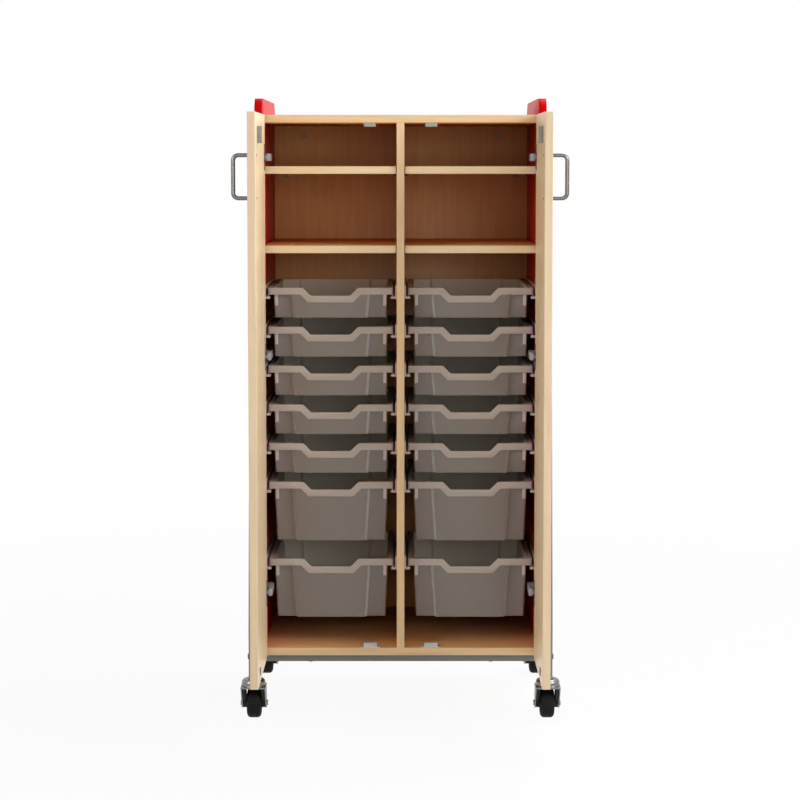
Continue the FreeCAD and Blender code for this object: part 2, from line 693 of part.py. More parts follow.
def tyre(x, y):
    axle_y = y + TRAIL
    rim_r = WHEEL_R - TYRE_DEPTH
    half = TYRE_W / 2
    steps = [(half, rim_r), (half, WHEEL_R)]
    ring = turned(wheel_profile(x, axle_y, steps), V(x, axle_y, WHEEL_R), V(1, 0, 0))
    shoulders = [edge for edge in ring.Edges if edge.BoundBox.ZLength > 2 * WHEEL_R - 1]
    return ring.makeFillet(TYRE_ROUND, shoulders)


def caster_places():
    """Name and stem position of each caster."""
    names = (("front_left", -1, LEG_Y), ("front_right", 1, LEG_Y),
             ("rear_left", -1, -LEG_Y), ("rear_right", 1, -LEG_Y))
    return [(name, side * LEG_X, y) for name, side, y in names]


def carcass_nodes():
    right_side = side_panel()
    right_frame = side_frame()
    arms = Part.makeCompound([hinge_arm(z) for z in HINGE_ZS])
    return {
        "left_side_panel": mirrored(right_side),
        "right_side_panel": right_side,
        "top_panel": top_panel(),
        "bottom_panel": bottom_panel(),
        "back_panel": back_panel(),
        "centre_divider": centre_divider(),
        "upper_shelves": shelf_pair(HIGH_SHELF_Z),
        "lower_shelves": shelf_pair(LOW_SHELF_Z),
        "shelf_pins": Part.makeCompound([shelf_pin(*place) for place in shelf_pin_places()]),
        "left_frame": mirrored(right_frame),
        "right_frame": right_frame,
        "front_rail": cross_rail(LEG_Y),
        "rear_rail": cross_rail(-LEG_Y),
        "frame_bolts": frame_bolts(),
        "left_bay_runners": bay_runners(-1),
        "right_bay_runners": bay_runners(1),
        "left_hinge_arms": mirrored(arms),
        "right_hinge_arms": arms,
        "top_catches": Part.makeCompound([mirrored(top_catch()), top_catch()]),
        "bottom_catches": Part.makeCompound([mirrored(low_catch()), low_catch()]),
        "caster_stems": Part.makeCompound([caster_stem(x, y) for _, x, y in caster_places()]),
    }


def door_nodes():
    right = {
        "door": door_panel(),
        "handle": handle(),
        "hinge_cups": Part.makeCompound([hinge_cup(z) for z in HINGE_ZS]),
        "strikes": strikes(),
    }
    nodes = {"right_" + name: shape for name, shape in right.items()}
    nodes.update({"left_" + name: mirrored(shape) for name, shape in right.items()})
    return nodes


def tray_nodes():
    nodes = {}
    for number, (slot, height) in enumerate(tray_slots(), start=1):
        for name, side in (("left", -1), ("right", 1)):
            nodes["%s_tray_%d" % (name, number)] = placed_tray(side, slot, height)
    return nodes


def caster_nodes():
    nodes = {}
    for name, x, y in caster_places():
        nodes["fork_" + name] = fork(x, y)
        nodes["axle_" + name] = axle(x, y)
        nodes["wheel_" + name] = wheel_core(x, y)
        nodes["tyre_" + name] = tyre(x, y)
    return nodes


def main():
    os.makedirs("parts", exist_ok=True)
    for make in (carcass_nodes, door_nodes, tray_nodes, caster_nodes):
        for name, shape in make().items():
            shape.exportStep("parts/%s.step" % name)
            print(name, len(shape.Solids), shape.isValid(), round(shape.Volume))


main()
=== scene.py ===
# %% [markdown]
# # Tote tray cart
# A tall cabinet on casters, with two doors that stand open, shelves, and two stacks of moulded trays.
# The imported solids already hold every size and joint, so this lesson only dresses them:
# a camera and a studio first, then finishes, then softer copies of the boards and trays,
# then small hardware.

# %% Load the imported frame
import json
import math

import bmesh
import bpy
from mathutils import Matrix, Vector

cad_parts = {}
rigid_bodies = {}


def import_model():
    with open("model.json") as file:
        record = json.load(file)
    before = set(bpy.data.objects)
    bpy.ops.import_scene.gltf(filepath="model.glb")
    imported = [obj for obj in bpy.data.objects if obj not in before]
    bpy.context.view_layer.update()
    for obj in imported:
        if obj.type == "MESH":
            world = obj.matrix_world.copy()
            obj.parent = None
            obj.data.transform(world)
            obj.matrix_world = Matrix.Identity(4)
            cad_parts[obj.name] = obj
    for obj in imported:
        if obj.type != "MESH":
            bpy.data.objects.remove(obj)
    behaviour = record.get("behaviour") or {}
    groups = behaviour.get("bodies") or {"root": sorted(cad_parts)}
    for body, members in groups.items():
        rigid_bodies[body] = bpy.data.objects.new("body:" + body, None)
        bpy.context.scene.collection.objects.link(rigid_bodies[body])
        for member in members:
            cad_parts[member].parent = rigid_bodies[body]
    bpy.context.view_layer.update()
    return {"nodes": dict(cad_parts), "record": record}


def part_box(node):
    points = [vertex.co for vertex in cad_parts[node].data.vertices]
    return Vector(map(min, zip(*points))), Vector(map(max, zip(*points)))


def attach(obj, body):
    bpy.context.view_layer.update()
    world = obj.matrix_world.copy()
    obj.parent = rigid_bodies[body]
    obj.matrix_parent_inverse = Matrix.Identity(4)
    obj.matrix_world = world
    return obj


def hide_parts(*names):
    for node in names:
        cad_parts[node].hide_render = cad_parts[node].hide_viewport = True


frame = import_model()
nodes = frame["nodes"]
scene = bpy.context.scene
scene.view_settings.view_transform = "Standard"

# %% [markdown]
# ## Camera
# The photo looks at the cart from above its middle, and the verticals still stand upright.
# A level camera with its lens shifted far down would do that,
# but it pushes the cart out of every other view.
# So the camera looks down by a few degrees, and a small shift does the rest.
# The tilt leans the verticals by about two pixels. The focal length comes from how much smaller the back
# of the cabinet looks than its front.

# %% Camera that looks down a little, with a small lens shift
CAMERA_PLACE = (0.0136, -5.7349, 1.4036)
LOOK_DOWN = 4.694
PIXELS = 800
FOCAL_PIXELS = 2208.2
SENSOR_W = 36
LENS_SHIFT = (-0.0075, -0.07)

camera = bpy.data.cameras.new("photo_camera")
camera.sensor_width = SENSOR_W
camera.lens = FOCAL_PIXELS / PIXELS * SENSOR_W
camera.shift_x, camera.shift_y = LENS_SHIFT
camera_stand = bpy.data.objects.new("photo_camera", camera)
camera_stand.location = CAMERA_PLACE
camera_stand.rotation_euler = (math.radians(90 - LOOK_DOWN), 0, 0)
scene.collection.objects.link(camera_stand)
scene.camera = camera_stand
print("lens", round(camera.lens, 1), "shift", round(camera.shift_y, 3))

# %% [markdown]
# ## Node helpers
# Room, paper, finishes and screws are all made of nodes. Each node is made, set and linked in the same way.
# Written out, that is four lines for every node. One helper does it from a list of inputs instead.

# %% Helpers for nodes and materials
def linked(tree, kind, inputs, out=0, **settings):
    """New node with its settings made and its inputs linked or set. Gives one of its outputs."""
    made = tree.nodes.new(kind)
    for key, value in settings.items():
        setattr(made, key, value)
    for key, value in inputs.items():
        if isinstance(value, bpy.types.NodeSocket):
            tree.links.new(value, made.inputs[key])
        else:
            made.inputs[key].default_value = value
    return made.outputs[out]


def larger(tree, one, other):
    """The larger of two values."""
    return linked(tree, "ShaderNodeMath", {0: one, 1: other}, operation="MAXIMUM")


def times(tree, one, other):
    """Two values multiplied."""
    return linked(tree, "ShaderNodeMath", {0: one, 1: other}, operation="MULTIPLY")


def ramp(tree, value, start, end, low, high):
    """A number ramp: value from start to end becomes low to high."""
    return linked(tree, "ShaderNodeMapRange", {
        "Value": value, "From Min": start, "From Max": end, "To Min": low, "To Max": high})


def finish_material(name, colour, roughness, gloss, metallic=0.0):
    """A material with one Principled shader and its plain values set."""
    made = bpy.data.materials.new(name)
    made.use_nodes = True
    shader = made.node_tree.nodes["Principled BSDF"]
    shader.inputs["Base Color"].default_value = (*colour, 1)
    shader.inputs["Roughness"].default_value = roughness
    shader.inputs["Specular IOR Level"].default_value = gloss
    shader.inputs["Metallic"].default_value = metallic
    return made, made.node_tree, shader


# %% [markdown]
# ## Studio
# A product shot on white: softboxes on the right, on the left and above, and a weak low one by the camera.
# The room itself is dim, so the inside of the cabinet is lit mostly by light
# that bounces off its own boards.
# A bright room would be simpler, but it would fill the shelves with flat light.
# So the white is painted only for what the camera and mirrors see, and it adds no light.

# %% White room
ROOM_LIGHT = 0.10
FULL_WHITE = 1


def seen_directly(tree):
    """1 where the camera, a glossy ray or a clear ray looks, else 0."""
    path = tree.nodes.new("ShaderNodeLightPath").outputs
    mirrored = larger(tree, path["Is Camera Ray"], path["Is Glossy Ray"])
    return larger(tree, mirrored, path["Is Transmission Ray"])


world = bpy.data.worlds.new("white_room")
world.use_nodes = True
scene.world = world
room = world.node_tree
backdrop = room.nodes["Background"]
backdrop.inputs["Color"].default_value = (1, 1, 1, 1)
brightness = ramp(room, seen_directly(room), 0, 1, ROOM_LIGHT, FULL_WHITE)
room.links.new(brightness, backdrop.inputs["Strength"])
print("room light", ROOM_LIGHT, "seen as", FULL_WHITE)

# %% [markdown]
# The floor is white paper with a soft shadow under the cart.
# Paper that is only lit turns grey far from the lamps.
# So a glow is blended over it, weaker near the cart, where the shadow has to show.

# %% Paper floor
PAPER_TONE = (0.85, 0.85, 0.85)
PAPER_ROUGH = 0.9
FLOOR_GLOW = 0.94
SHADE_REACH = (1.0, 3.5)
FLOOR_REACH = 20
FLOOR_CORNERS = ((-1, -1), (1, -1), (1, 1), (-1, 1))

paper, sheet, matte = finish_material("studio_paper", PAPER_TONE, PAPER_ROUGH, gloss=0)
where = sheet.nodes.new("ShaderNodeTexCoord").outputs["Object"]
away = linked(sheet, "ShaderNodeVectorMath", {0: where}, out="Value", operation="LENGTH")
glow_share = times(sheet, seen_directly(sheet), ramp(sheet, away, *SHADE_REACH, FLOOR_GLOW, FULL_WHITE))
glow = linked(sheet, "ShaderNodeEmission", {})
blend = linked(sheet, "ShaderNodeMixShader", {"Fac": glow_share, 1: matte.outputs[0], 2: glow})
sheet.links.new(blend, sheet.nodes["Material Output"].inputs["Surface"])

floor_mesh = bpy.data.meshes.new("studio_floor")
floor_mesh.from_pydata([(x * FLOOR_REACH, y * FLOOR_REACH, 0) for x, y in FLOOR_CORNERS], [], [(0, 1, 2, 3)])
floor_mesh.materials.append(paper)
floor = bpy.data.objects.new("studio_floor", floor_mesh)
scene.collection.objects.link(floor)
print("paper floor", 2 * FLOOR_REACH, "m across")

# %% [markdown]
# A softbox is a lamp behind a square of cloth. A sun would be simpler, but its shadows are hard.
# An area lamp is the same thing as a softbox: the larger it is, the softer its shadow.
# Each row gives its place, the point that it looks at, its two sides and its watts.

# %% Softboxes
SOFTBOXES = (
    ("key_softbox", (3.4, -2.8, 2.7), (0, -0.3, 0.9), (1.8, 1.8), 116),
    ("low_softbox", (0.9, -5.4, 1.5), (0, -0.3, 0.9), (3.0, 1.2), 34),
    ("fill_softbox", (-3.2, -3.2, 2.3), (0, -0.3, 0.85), (1.8, 1.8), 66),
    ("top_softbox", (1.2, 0.6, 3.6), (0, 0, 0.8), (2.2, 2.2), 92),
)

for name, place, aim, sides, watts in SOFTBOXES:
    lamp = bpy.data.lights.new(name, "AREA")
    lamp.shape = "RECTANGLE"
    lamp.size, lamp.size_y = sides
    lamp.energy = watts
    stand = bpy.data.objects.new(name, lamp)
    stand.location = place
    stand.rotation_euler = (Vector(aim) - Vector(place)).to_track_quat("-Z", "Y").to_euler()
    scene.collection.objects.link(stand)

# %% [markdown]
# ## Finishes
# Every finish is a small node tree on Object coordinates, which are the cart's own metres.
# A picture of wood would need files and seams; stretched noise gives grain that runs through each board.

# %% Grain, tones and surface
TONE_RANGE = (0.3, 0.7)


def stretched_noise(tree, stretch, scale, detail):
    """Noise on Object coordinates, squeezed along each axis by stretch."""
    place = tree.nodes.new("ShaderNodeTexCoord").outputs["Object"]
    squeezed = linked(tree, "ShaderNodeMapping", {"Vector": place, "Scale": stretch})
    wave = {"Vector": squeezed, "Scale": scale, "Detail": detail}
    return linked(tree, "ShaderNodeTexNoise", wave, out="Fac")


def two_tone(tree, value, dark, pale):
    """A colour ramp from dark to pale over the middle of the noise."""
    made = tree.nodes.new("ShaderNodeValToRGB")
    for stop, at, colour in zip(made.color_ramp.elements, TONE_RANGE, (dark, pale)):
        stop.position = at
        stop.color = (*colour, 1)
    tree.links.new(value, made.inputs["Fac"])
    return made.outputs["Color"]


def roughen(tree, shader, value, rough):
    """Roughness between two values that follows the noise."""
    tree.links.new(ramp(tree, value, *TONE_RANGE, *rough), shader.inputs["Roughness"])


def raise_surface(tree, shader, value, strength, distance):
    """Bump from a value."""
    normal = linked(tree, "ShaderNodeBump", {"Height": value, "Strength": strength, "Distance": distance})
    tree.links.new(normal, shader.inputs["Normal"])


# %% [markdown]
# The deeper orange of the inner faces and of the bands on divider, top, bottom and back is painted bounce
# light.
# The boards carry a printed maple face: a broad figure along the grain, with fine pores.
# One finish for all would do, but in the photo the doors are palest and the inside is warmer,
# and the glued bands on the cut edges differ again.
# So one function makes them all, from a pair of colours and the way of the grain.
# Level faces are duller, since a lamp's mirror image would whiten the top.

# %% Maple faced boards and their edge bands
# The upright, level and edge tones are copies of one maple with painted warm bounce light in them.
DOOR_TONES = (0.86, 0.665, 0.42), (0.94, 0.765, 0.505)
LEVEL_BOUNCE_TONES = (0.83, 0.455, 0.20), (0.91, 0.54, 0.25)
UPRIGHT_BOUNCE_TONES = (0.87, 0.44, 0.165), (0.95, 0.525, 0.21)
DOOR_BAND_TONES = (0.70, 0.525, 0.335), (0.79, 0.61, 0.41)
SHELF_BAND_TONES = (0.82, 0.64, 0.40), (0.91, 0.735, 0.485)
EDGE_BOUNCE_TONES = (0.73, 0.51, 0.285), (0.82, 0.595, 0.35)
UPRIGHT = (9, 9, 0.6)
LEVEL = (0.6, 9, 9)
FIGURE_SCALE, FIGURE_DETAIL = 9, 6
PORE_SCALE, PORE_DETAIL = 70, 2
PORE_BUMP, PORE_DEPTH = 0.12, 0.0002
PLAIN_ROUGH = 0.4
SATIN_GLOSS, SATIN_ROUGH = 0.3, (0.30, 0.44)
DULL_GLOSS, DULL_ROUGH = 0.02, (0.58, 0.72)


def maple(name, tones, stretch, gloss=SATIN_GLOSS, rough=SATIN_ROUGH):
    """Printed maple: broad figure in the colour, fine pores in the gloss and the surface."""
    made, tree, shader = finish_material(name, tones[1], PLAIN_ROUGH, gloss)
    figure = stretched_noise(tree, stretch, FIGURE_SCALE, FIGURE_DETAIL)
    tree.links.new(two_tone(tree, figure, *tones), shader.inputs["Base Color"])
    pores = stretched_noise(tree, stretch, PORE_SCALE, PORE_DETAIL)
    roughen(tree, shader, pores, rough)
    raise_surface(tree, shader, pores, PORE_BUMP, PORE_DEPTH)
    return made


door_face = maple("maple_door_face", DOOR_TONES, UPRIGHT)
face_upright_bounce = maple("maple_face_upright", UPRIGHT_BOUNCE_TONES, UPRIGHT)
face_level_bounce = maple("maple_face_level", LEVEL_BOUNCE_TONES, LEVEL, DULL_GLOSS, DULL_ROUGH)
band_upright = maple("maple_band_upright", DOOR_BAND_TONES, UPRIGHT)
shelf_band = maple("maple_shelf_band", SHELF_BAND_TONES, LEVEL)
edge_upright_bounce = maple("maple_edge_upright", EDGE_BOUNCE_TONES, UPRIGHT)
edge_level_bounce = maple("maple_edge_level", EDGE_BOUNCE_TONES, LEVEL)
maples = (door_face, face_upright_bounce, face_level_bounce, band_upright, shelf_band, edge_upright_bounce, edge_level_bounce)
print("maple", [made.name for made in maples])

# %% [markdown]
# The sides are red laminate, flat in colour with a faint orange peel.
# A single colour would look like paint on glass, so a soft cloud moves the red a little
# and a very fine noise lifts the surface.

# %% Red laminate
RED_PLAIN = (0.53, 0.003, 0.003)
RED_TONES = (0.50, 0.002, 0.002), (0.565, 0.004, 0.003)
RED_GLOSS, RED_ROUGH = 0.03, (0.28, 0.38)
CLOUD_SCALE, CLOUD_DETAIL = 14, 3
PEEL_SCALE, PEEL_DETAIL = 900, 2
PEEL_BUMP, PEEL_DEPTH = 0.06, 0.0002
EVEN = (1, 1, 1)

red_board, red_tree, red_shader = finish_material("red_laminate", RED_PLAIN, sum(RED_ROUGH) / 2, RED_GLOSS)
red_cloud = stretched_noise(red_tree, EVEN, CLOUD_SCALE, CLOUD_DETAIL)
red_tree.links.new(two_tone(red_tree, red_cloud, *RED_TONES), red_shader.inputs["Base Color"])
red_peel = stretched_noise(red_tree, EVEN, PEEL_SCALE, PEEL_DETAIL)
roughen(red_tree, red_shader, red_peel, RED_ROUGH)
raise_surface(red_tree, red_shader, red_peel, PEEL_BUMP, PEEL_DEPTH)
print("red laminate", len(red_tree.nodes), "nodes")

# %% [markdown]
# Coated steel, plating, plastic and rubber all have a fine grain that breaks up the light.
# Each could have a tree of its own. They differ only in colour, roughness, grain and metal, so one function
# with those as its inputs is enough.

# %% One function for fine grained finishes
FINE_DETAIL = 3
FINE_DEPTH = 0.0003
PLAIN_GLOSS = 0.3


def speckled(name, dark, pale, rough, grain, bump, metallic=0.0, gloss=PLAIN_GLOSS, stretch=EVEN):
    """A finish whose colour, roughness and surface all follow one fine grain."""
    made, tree, shader = finish_material(name, pale, sum(rough) / 2, gloss, metallic)
    fine = stretched_noise(tree, stretch, grain, FINE_DETAIL)
    tree.links.new(two_tone(tree, fine, dark, pale), shader.inputs["Base Color"])
    roughen(tree, shader, fine, rough)
    raise_surface(tree, shader, fine, bump, FINE_DEPTH)
    return made


# %% [markdown]
# The frame is powder coated and the hardware is zinc plated.
# The handles are satin wire, whose grain runs along the wire.
# One zinc for all the hardware would be simpler, but the same plating looks different on a hinge arm,
# a cup or a strike, which mirror different surroundings. So their colours are matched one by one,
# and the reflection and shade of each are painted into its colour, darkest on cups, forks and handle wire.

# %% Steel
COAT_GRAIN, COAT_BUMP = 1400, 0.12
ZINC_GRAIN, ZINC_BUMP = 260, 0.04
FORK_GRAIN = 220
WIRE_GRAIN, WIRE_BUMP = 500, 0.03
ALONG_WIRE = (1, 1, 0.1)

powder_coat = speckled(
    "platinum_powder_coat", (0.175, 0.17, 0.17), (0.23, 0.225, 0.225), (0.38, 0.5),
    COAT_GRAIN, COAT_BUMP)
zinc = speckled(
    "zinc_plate", (0.42, 0.42, 0.43), (0.54, 0.54, 0.55), (0.3, 0.44),
    ZINC_GRAIN, ZINC_BUMP, metallic=1.0)
dark_zinc_and_shade = speckled(
    "dark_zinc_and_shade", (0.055, 0.06, 0.075), (0.09, 0.095, 0.11), (0.35, 0.5),
    ZINC_GRAIN, ZINC_BUMP, metallic=0.6)
arm_zinc = speckled(
    "hinge_arm_zinc", (0.34, 0.335, 0.345), (0.44, 0.43, 0.44), (0.5, 0.62),
    ZINC_GRAIN, ZINC_BUMP, metallic=0.3)
cup_zinc = speckled(
    "hinge_cup_zinc", (0.14, 0.135, 0.13), (0.21, 0.205, 0.195), (0.4, 0.5),
    ZINC_GRAIN, ZINC_BUMP, metallic=0.8)
strike_grey = speckled(
    "strike_steel", (0.28, 0.265, 0.215), (0.36, 0.345, 0.285), (0.55, 0.65),
    ZINC_GRAIN, ZINC_BUMP, metallic=0.2)
fork_zinc = speckled(
    "fork_zinc", (0.17, 0.165, 0.165), (0.27, 0.265, 0.265), (0.24, 0.36),
    FORK_GRAIN, ZINC_BUMP, metallic=1.0)
satin_wire = speckled(
    "satin_wire", (0.13, 0.125, 0.118), (0.20, 0.195, 0.185), (0.2, 0.3),
    WIRE_GRAIN, WIRE_BUMP, metallic=1.0, stretch=ALONG_WIRE)
steels = (powder_coat, zinc, dark_zinc_and_shade, arm_zinc, cup_zinc, strike_grey, fork_zinc, satin_wire)
print("steel", [made.name for made in steels])

# %% [markdown]
# Catches and runners are moulded plastic with a light spark texture, and wheels and tyres are nearly black.
# Pure black would lose the shape of the wheel, so both keep a little tone and a low gloss.

# %% Plastic and rubber
WHEEL_GLOSS = 0.15
TYRE_GLOSS = 0.12

catch_grey = speckled(
    "top_catch_plastic", (0.27, 0.265, 0.255), (0.40, 0.39, 0.375), (0.4, 0.55), grain=900, bump=0.2)
catch_white = speckled(
    "catch_plastic", (0.66, 0.65, 0.63), (0.74, 0.73, 0.71), (0.4, 0.5), grain=800, bump=0.05)
runner_clear = speckled(
    "runner_plastic", (0.50, 0.46, 0.41), (0.58, 0.54, 0.49), (0.3, 0.42), grain=300, bump=0.03)
wheel_black = speckled(
    "wheel_plastic", (0.010, 0.010, 0.010), (0.022, 0.021, 0.020), (0.4, 0.55), grain=400, bump=0.06,
    gloss=WHEEL_GLOSS)
tyre_rubber = speckled(
    "tyre_rubber", (0.005, 0.005, 0.005), (0.011, 0.010, 0.010), (0.55, 0.7), grain=500, bump=0.12,
    gloss=TYRE_GLOSS)
print("plastic", [made.name for made in (catch_grey, catch_white, runner_clear, wheel_black, tyre_rubber)])

# %% [markdown]
# The trays are milky plastic. Light passes through a thin wall, and a fold of two walls looks paler.
# Real scattering would be slow to render. So the wall is partly clear, and the folded lip is paler.
# The ribs are paler still, as a painted highlight. The slanted sides of the bulge are a cool pale grey:
# a painted highlight, tinted against the warm light that bounces onto them from the red sides and the doors.
# The inside is opaque and painted far paler than the wall: painted light that stands for the light come in
# from above.

# %% Tray plastic
TRAY_CLOUD = 0.88
TRAY_GRAIN, TRAY_BUMP = 700, 0.05
WALL_ROUGH, LIP_ROUGH = (0.36, 0.46), (0.34, 0.44)

tray_wall = speckled(
    "tray_wall", (0.235, 0.21, 0.19), (0.27, 0.245, 0.225), WALL_ROUGH, TRAY_GRAIN, TRAY_BUMP)
tray_wall.node_tree.nodes["Principled BSDF"].inputs["Alpha"].default_value = TRAY_CLOUD
# The inside colour is painted light.
tray_inside = speckled(
    "tray_inside", (0.89, 0.82, 0.70), (0.95, 0.88, 0.77), WALL_ROUGH, TRAY_GRAIN, TRAY_BUMP)
# The lip colour is also painted onto the eased edges as highlight lines.
tray_lip_and_sheen = speckled(
    "tray_lip_and_sheen", (0.42, 0.37, 0.335), (0.48, 0.425, 0.385), LIP_ROUGH, TRAY_GRAIN, TRAY_BUMP)
# The rib and bulge colours are painted highlights.
tray_rib_highlight = speckled(
    "tray_rib_highlight", (0.55, 0.495, 0.455), (0.63, 0.575, 0.53), LIP_ROUGH, TRAY_GRAIN, TRAY_BUMP)
tray_flare_highlight = speckled(
    "tray_flare_highlight", (0.43, 0.455, 0.46), (0.49, 0.515, 0.52), LIP_ROUGH, TRAY_GRAIN, TRAY_BUMP)
TRAY_SKINS = [tray_wall, tray_lip_and_sheen, tray_inside, tray_rib_highlight, tray_flare_highlight]
print("tray", [made.name for made in TRAY_SKINS])

# %% [markdown]
# Each solid already has a material slot. Finishes could be given to the solids one by one,
# but a slot covers many of them, so most finishes go on by slot.
# Hinge cups and shelf pins share a slot with brighter zinc, and only they are named.

# %% Finishes on the solids
SLOT_FINISH = {
    "red_board": red_board, "maple_board": face_upright_bounce, "platinum_steel": powder_coat, "zinc_steel": zinc,
    "satin_wire": satin_wire, "catch_plastic": catch_white, "runner_plastic": runner_clear,
    "tray_plastic": tray_wall, "fork_steel": fork_zinc, "wheel_plastic": wheel_black,
    "tyre_rubber": tyre_rubber,
}
NODE_FINISH = {"left_hinge_cups": cup_zinc, "right_hinge_cups": cup_zinc, "shelf_pins": dark_zinc_and_shade}
node_slot = {row["node"]: row["material_slot"] for row in frame["record"]["subparts"]}
for node, slot_name in node_slot.items():
    shown = nodes[node].data
    shown.materials.clear()
    shown.materials.append(NODE_FINISH.get(node, SLOT_FINISH[slot_name]))
print("solids with a finish", len(node_slot))

# %% [markdown]
# ## Eased edges
# No real board or moulding has a knife edge.
# Each one is eased, and that thin rounded line catches the light.
# A bevel modifier needs joined faces, and the solids arrive as loose triangles, so each piece is a copy
# whose doubles are merged, whose flat triangles are dissolved, and whose sharp edges are then bevelled.

# %% A softened copy of a node
MERGE_REACH = 2e-6
FLAT_ANGLE = math.radians(0.5)
SHARP_ANGLE = math.radians(30)
CRISP_ANGLE = math.radians(40)
EASE_SEGMENTS = 2
EASE_PROFILE = 0.5
node_body = {node: body for body, rows in frame["record"]["behaviour"]["bodies"].items() for node in rows}


def placed(name, data, body):
    """Object for a finished mesh that rides on a body."""
    piece = bpy.data.objects.new(name, data)
    scene.collection.objects.link(piece)
    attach(piece, body)
    return piece


def smoothed(data):
    """Smooth shading, with the sharper edges kept crisp."""
    data.polygons.foreach_set("use_smooth", [True] * len(data.polygons))
    data.set_sharp_from_angle(angle=CRISP_ANGLE)


def softened(node, width, skins, pick=None, highlight_skin=None):
    """Piece that stands for a node, with bevelled edges. pick(face) gives a face's place in skins."""
    mesh = bmesh.new()
    mesh.from_mesh(nodes[node].data)
    bmesh.ops.remove_doubles(mesh, verts=mesh.verts, dist=MERGE_REACH)
    bmesh.ops.dissolve_limit(mesh, angle_limit=FLAT_ANGLE, verts=mesh.verts, edges=mesh.edges)
    mesh.normal_update()
    for face in mesh.faces:
        face.material_index = pick(face) if pick else 0
    edges = [e for e in mesh.edges if len(e.link_faces) == 2 and e.calc_face_angle() > SHARP_ANGLE]
    made = bmesh.ops.bevel(mesh, geom=edges, offset=width, segments=EASE_SEGMENTS, profile=EASE_PROFILE,
                           affect="EDGES", clamp_overlap=True)
    # The bevel faces can take a skin of their own, for painted highlight lines.
    if highlight_skin is not None:
        for face in made["faces"]:
            face.material_index = highlight_skin
    data = bpy.data.meshes.new(node + "_soft")
    mesh.to_mesh(data)
    mesh.free()
    for skin in skins:
        data.materials.append(skin)
    smoothed(data)
    piece = placed(node + "_soft", data, node_body[node])
    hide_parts(node)


def soft_count():
    """How many softened pieces there are so far."""
    return sum(1 for o in scene.objects if o.name.endswith("_soft"))


print("solids on bodies", len(node_body))

# %% [markdown]
# ## Boards
# Each board is chipboard with a maple face, and its cut edges carry a glued band in another shade.
# The band could be a thin strip of its own, but it lies flush and only its colour shows.
# So the wide faces get the face finish and the narrow ones the band, told apart by their normals.

# %% Maple boards and red sides
BOARD_EASE = 0.0008
FACING = 0.7
ACROSS, BACKWARD, UPWARD = range(3)


def by_thickness(axis):
    """Faces across the board's thickness are the wide ones, and the rest are its edges."""
    return lambda face: 0 if abs(face.normal[axis]) > FACING else 1


for node in ("left_door", "right_door"):
    softened(node, BOARD_EASE, [door_face, band_upright], by_thickness(ACROSS))
softened("centre_divider", BOARD_EASE, [face_upright_bounce, edge_upright_bounce], by_thickness(ACROSS))
for node, band in (("top_panel", edge_level_bounce), ("bottom_panel", edge_level_bounce),
                   ("upper_shelves", shelf_band), ("lower_shelves", shelf_band)):
    softened(node, BOARD_EASE, [face_level_bounce, band], by_thickness(UPWARD))
softened("back_panel", BOARD_EASE, [face_upright_bounce, edge_upright_bounce], by_thickness(BACKWARD))
for node in ("left_side_panel", "right_side_panel"):
    softened(node, BOARD_EASE, [red_board])
print("softened pieces with the boards", soft_count())

# %% [markdown]
# ## Trays
# Each tray is moulded in one piece: walls, a folded lip round the rim, two ribs and a bulge at the front.
# The parts could be cut into separate meshes, but a moulding has no joints between them.
# So each face of the one mesh is given a finish by where it lies and which way it looks.
# The runners are plain clear channels, so they have one finish and a finer ease.

# %% Fourteen trays and their runners
TRAY_EASE = 0.0009
RUNNER_EASE = 0.0006
LIP_WALL = 0.0029
RIB_REACH = 0.0165
RIB_FROM, RIB_TO = 0.130, 0.1405
FLARE_REACH = 0.035
FLARE_FROM, FLARE_TO = 0.080, 0.108
FLARE_SLANT = 0.3
TRAY_NUMBERS = range(1, 8)
WALL, LIP, INSIDE, EDGE, FLARE = range(len(TRAY_SKINS))


def tray_part(node):
    """Picker that tells a tray's wall, folded lip, inside, ribs and slanted bulge sides apart; the last two
    are painted highlights.
    """
    low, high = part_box(node)
    middle = (low + high) / 2

    def pick(face):
        at = face.calc_center_median()
        across = abs(at.x - middle.x)
        outside = max(across - (high.x - middle.x), abs(at.y - middle.y) - (high.y - middle.y))
        if at.y < low.y + RIB_REACH and RIB_FROM < across < RIB_TO and at.z < high.z - 2 * LIP_WALL:
            return EDGE
        if outside > -LIP_WALL or at.z > high.z - LIP_WALL:
            return LIP
        if face.normal.dot(middle - at) > 0:
            return INSIDE
        near_bulge = at.y < low.y + FLARE_REACH and FLARE_FROM < across < FLARE_TO
        return FLARE if near_bulge and abs(face.normal.x) > FLARE_SLANT else WALL

    return pick


for side in ("left", "right"):
    for number in TRAY_NUMBERS:
        node = "%s_tray_%d" % (side, number)
        # Their eased edges take the lip colour, as painted highlight lines.
        softened(node, TRAY_EASE, TRAY_SKINS, tray_part(node), highlight_skin=LIP)
    softened(side + "_bay_runners", RUNNER_EASE, [runner_clear])
print("softened pieces with the trays and runners", soft_count())

# %% [markdown]
# ## Steelwork
# The side frames, rails and caster forks are bent tube and pressed sheet, with rounder edges than a board.
# One ease for all would be simpler, but hinges and catches are small, and a finer one keeps their shape.
# The forward faces of an upper strike catch the light and keep the grey steel, so its faces are told apart
# by their normals again.
# Its other faces and the low strikes are dark zinc as painted shade.

# %% Frames, rails, forks and fittings
ENDS = ("front_left", "front_right", "rear_left", "rear_right")
TUBE_EASE = 0.0015
RAIL_EASE = 0.004
FITTING_EASE = 0.0006
STRIKE_EASE = 0.0003
LOW_STRIKE_BELOW = 0.5


def strike_part(face):
    """Forward faces of an upper strike are grey; its other faces and the low strikes get dark zinc as
    painted shade.
    """
    upper = face.calc_center_median().z > LOW_STRIKE_BELOW
    return 0 if upper and abs(face.normal.y) > FACING else 1


